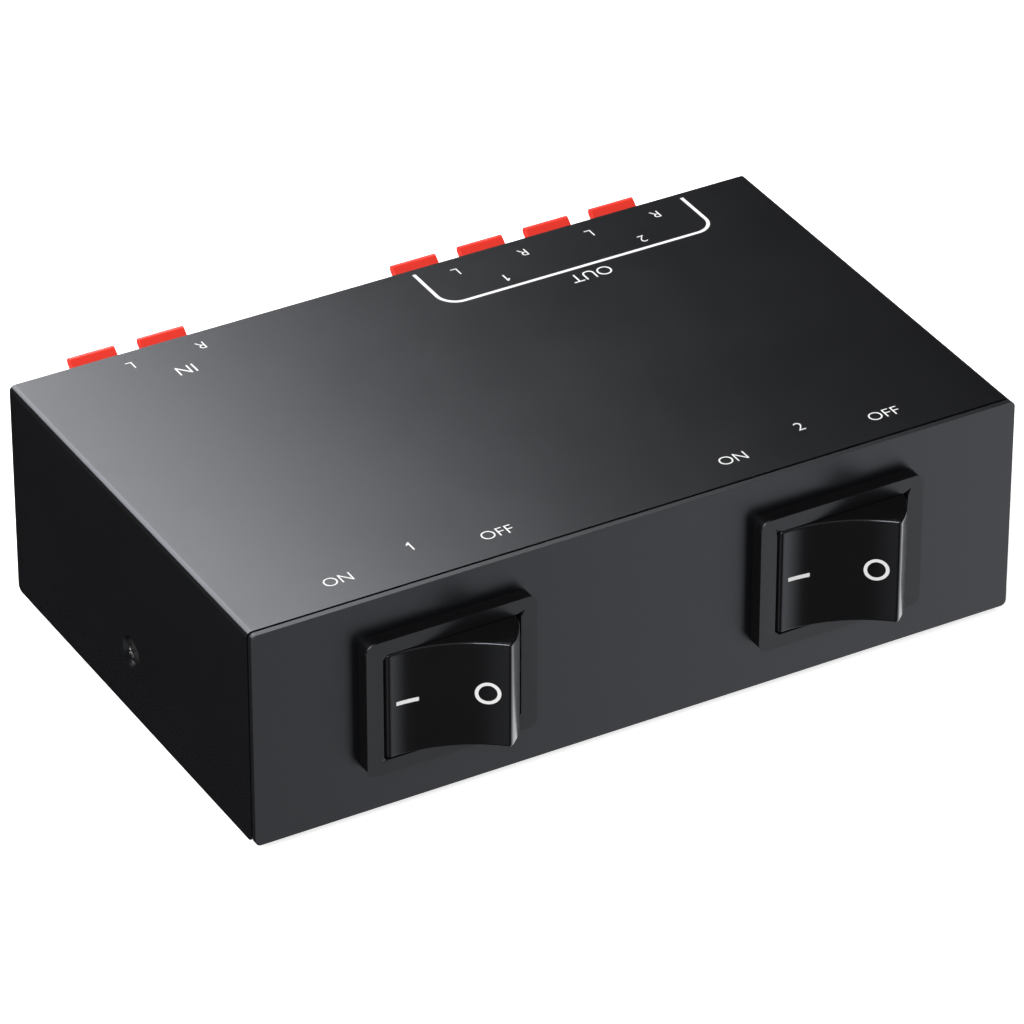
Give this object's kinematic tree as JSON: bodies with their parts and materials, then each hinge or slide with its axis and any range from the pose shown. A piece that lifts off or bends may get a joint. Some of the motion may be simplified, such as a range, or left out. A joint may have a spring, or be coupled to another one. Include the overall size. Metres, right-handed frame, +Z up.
{
  "type": "speaker selector switch",
  "caption": "Metal box with two rocker switches in front that join speaker pairs to one amplifier through spring lever wire terminals behind.",
  "frame": {"origin": "middle of the footprint, on the surface that the feet stand on", "axes": "+X to the right seen from the front, +Y from the front panel to the terminals, +Z up"},
  "size_m": [0.1414, 0.1068, 0.042],
  "materials": {
    "case_black": "satin powder coat, fine grain",
    "screw_black": "black finished steel",
    "rubber_black": "matte",
    "switch_housing": "satin moulded nylon",
    "switch_rocker": "semi-gloss moulded",
    "plunger_nylon": "natural nylon",
    "spring_steel": "spring wire",
    "contact_brass": "stamped brass",
    "terminal_black": "satin moulded",
    "lever_red": "semi-gloss moulded",
    "lever_black": "semi-gloss moulded",
    "strip_tinned": "tinned",
    "wire_black": "insulation",
    "wire_red": "insulation"
  },
  "bodies": {
    "case": {"base_chassis": "case_black", "cover_screws": "screw_black", "feed_wire_left": "wire_red", "feed_wire_right": "wire_red", "input_contact_strips": "strip_tinned", "input_terminal_body": "terminal_black", "output_contact_strips": "strip_tinned", "output_terminal_body": "terminal_black", "output_wire_1_left": "wire_red", "output_wire_1_right": "wire_red", "output_wire_2_left": "wire_red", "output_wire_2_right": "wire_red", "return_link_left": "wire_black", "return_link_right": "wire_black", "return_wire_left": "wire_black", "return_wire_right": "wire_black", "rubber_feet": "rubber_black", "switch_1_feed_lugs": "contact_brass", "switch_1_housing": "switch_housing", "switch_1_output_lugs": "contact_brass", "switch_2_feed_lugs": "contact_brass", "switch_2_housing": "switch_housing", "switch_2_output_lugs": "contact_brass", "switch_link_left": "wire_red", "switch_link_right": "wire_red", "terminal_screws": "screw_black", "top_cover": "case_black"},
    "switch_1_rocker": {"switch_1_rocker": "switch_rocker", "switch_1_plungers": "plunger_nylon", "switch_1_plunger_springs": "spring_steel"},
    "switch_1_contacts": {"switch_1_upper_contact": "contact_brass", "switch_1_lower_contact": "contact_brass"},
    "switch_2_rocker": {"switch_2_rocker": "switch_rocker", "switch_2_plungers": "plunger_nylon", "switch_2_plunger_springs": "spring_steel"},
    "switch_2_contacts": {"switch_2_upper_contact": "contact_brass", "switch_2_lower_contact": "contact_brass"},
    "input_left_red_lever": {"input_left_red_lever": "lever_red"},
    "input_left_black_lever": {"input_left_black_lever": "lever_black"},
    "input_right_red_lever": {"input_right_red_lever": "lever_red"},
    "input_right_black_lever": {"input_right_black_lever": "lever_black"},
    "output_1_left_red_lever": {"output_1_left_red_lever": "lever_red"},
    "output_1_left_black_lever": {"output_1_left_black_lever": "lever_black"},
    "output_1_right_red_lever": {"output_1_right_red_lever": "lever_red"},
    "output_1_right_black_lever": {"output_1_right_black_lever": "lever_black"},
    "output_2_left_red_lever": {"output_2_left_red_lever": "lever_red"},
    "output_2_left_black_lever": {"output_2_left_black_lever": "lever_black"},
    "output_2_right_red_lever": {"output_2_right_red_lever": "lever_red"},
    "output_2_right_black_lever": {"output_2_right_black_lever": "lever_black"}
  },
  "joints": [
    {"name": "switch_1_rocker_tilt", "type": "hinge", "parent": "case", "child": "switch_1_rocker", "pos_m": [-0.0363, -0.04317, 0.0226], "axis": [0, 0, 1], "range_deg": [0, 40.4]},
    {"name": "switch_1_contacts_tilt", "type": "hinge", "parent": "case", "child": "switch_1_contacts", "pos_m": [-0.0363, -0.02827, 0.0226], "axis": [0, 0, 1], "range_deg": [-20.01, 0.01]},
    {"name": "switch_2_rocker_tilt", "type": "hinge", "parent": "case", "child": "switch_2_rocker", "pos_m": [0.0363, -0.04317, 0.0226], "axis": [0, 0, 1], "range_deg": [0, 40.4]},
    {"name": "switch_2_contacts_tilt", "type": "hinge", "parent": "case", "child": "switch_2_contacts", "pos_m": [0.0363, -0.02827, 0.0226], "axis": [0, 0, 1], "range_deg": [-20.01, 0.01]},
    {"name": "input_left_red_lever_press", "type": "hinge", "parent": "case", "child": "input_left_red_lever", "pos_m": [-0.05038, 0.03008, 0.0328], "axis": [-1, 0, 0], "range_deg": [0, 9], "stiffness_Nm_per_rad": 0.6, "springref_deg": -4.58},
    {"name": "input_left_black_lever_press", "type": "hinge", "parent": "case", "child": "input_left_black_lever", "pos_m": [-0.05038, 0.03008, 0.0112], "axis": [1, 0, 0], "range_deg": [0, 9], "stiffness_Nm_per_rad": 0.6, "springref_deg": -4.58},
    {"name": "input_right_red_lever_press", "type": "hinge", "parent": "case", "child": "input_right_red_lever", "pos_m": [-0.03732, 0.03008, 0.0328], "axis": [-1, 0, 0], "range_deg": [0, 9], "stiffness_Nm_per_rad": 0.6, "springref_deg": -4.58},
    {"name": "input_right_black_lever_press", "type": "hinge", "parent": "case", "child": "input_right_black_lever", "pos_m": [-0.03732, 0.03008, 0.0112], "axis": [1, 0, 0], "range_deg": [0, 9], "stiffness_Nm_per_rad": 0.6, "springref_deg": -4.58},
    {"name": "output_1_left_red_lever_press", "type": "hinge", "parent": "case", "child": "output_1_left_red_lever", "pos_m": [0.01117, 0.03008, 0.0328], "axis": [-1, 0, 0], "range_deg": [0, 9], "stiffness_Nm_per_rad": 0.6, "springref_deg": -4.58},
    {"name": "output_1_left_black_lever_press", "type": "hinge", "parent": "case", "child": "output_1_left_black_lever", "pos_m": [0.01117, 0.03008, 0.0112], "axis": [1, 0, 0], "range_deg": [0, 9], "stiffness_Nm_per_rad": 0.6, "springref_deg": -4.58},
    {"name": "output_1_right_red_lever_press", "type": "hinge", "parent": "case", "child": "output_1_right_red_lever", "pos_m": [0.02423, 0.03008, 0.0328], "axis": [-1, 0, 0], "range_deg": [0, 9], "stiffness_Nm_per_rad": 0.6, "springref_deg": -4.58},
    {"name": "output_1_right_black_lever_press", "type": "hinge", "parent": "case", "child": "output_1_right_black_lever", "pos_m": [0.02423, 0.03008, 0.0112], "axis": [1, 0, 0], "range_deg": [0, 9], "stiffness_Nm_per_rad": 0.6, "springref_deg": -4.58},
    {"name": "output_2_left_red_lever_press", "type": "hinge", "parent": "case", "child": "output_2_left_red_lever", "pos_m": [0.03728, 0.03008, 0.0328], "axis": [-1, 0, 0], "range_deg": [0, 9], "stiffness_Nm_per_rad": 0.6, "springref_deg": -4.58},
    {"name": "output_2_left_black_lever_press", "type": "hinge", "parent": "case", "child": "output_2_left_black_lever", "pos_m": [0.03728, 0.03008, 0.0112], "axis": [1, 0, 0], "range_deg": [0, 9], "stiffness_Nm_per_rad": 0.6, "springref_deg": -4.58},
    {"name": "output_2_right_red_lever_press", "type": "hinge", "parent": "case", "child": "output_2_right_red_lever", "pos_m": [0.05033, 0.03008, 0.0328], "axis": [-1, 0, 0], "range_deg": [0, 9], "stiffness_Nm_per_rad": 0.6, "springref_deg": -4.58},
    {"name": "output_2_right_black_lever_press", "type": "hinge", "parent": "case", "child": "output_2_right_black_lever", "pos_m": [0.05033, 0.03008, 0.0112], "axis": [1, 0, 0], "range_deg": [0, 9], "stiffness_Nm_per_rad": 0.6, "springref_deg": -4.58}
  ],
  "couplings": [
    {"joint": "switch_1_contacts_tilt", "follows": "switch_1_rocker_tilt", "ratio": -0.49505},
    {"joint": "switch_2_contacts_tilt", "follows": "switch_2_rocker_tilt", "ratio": -0.49505}
  ]
}
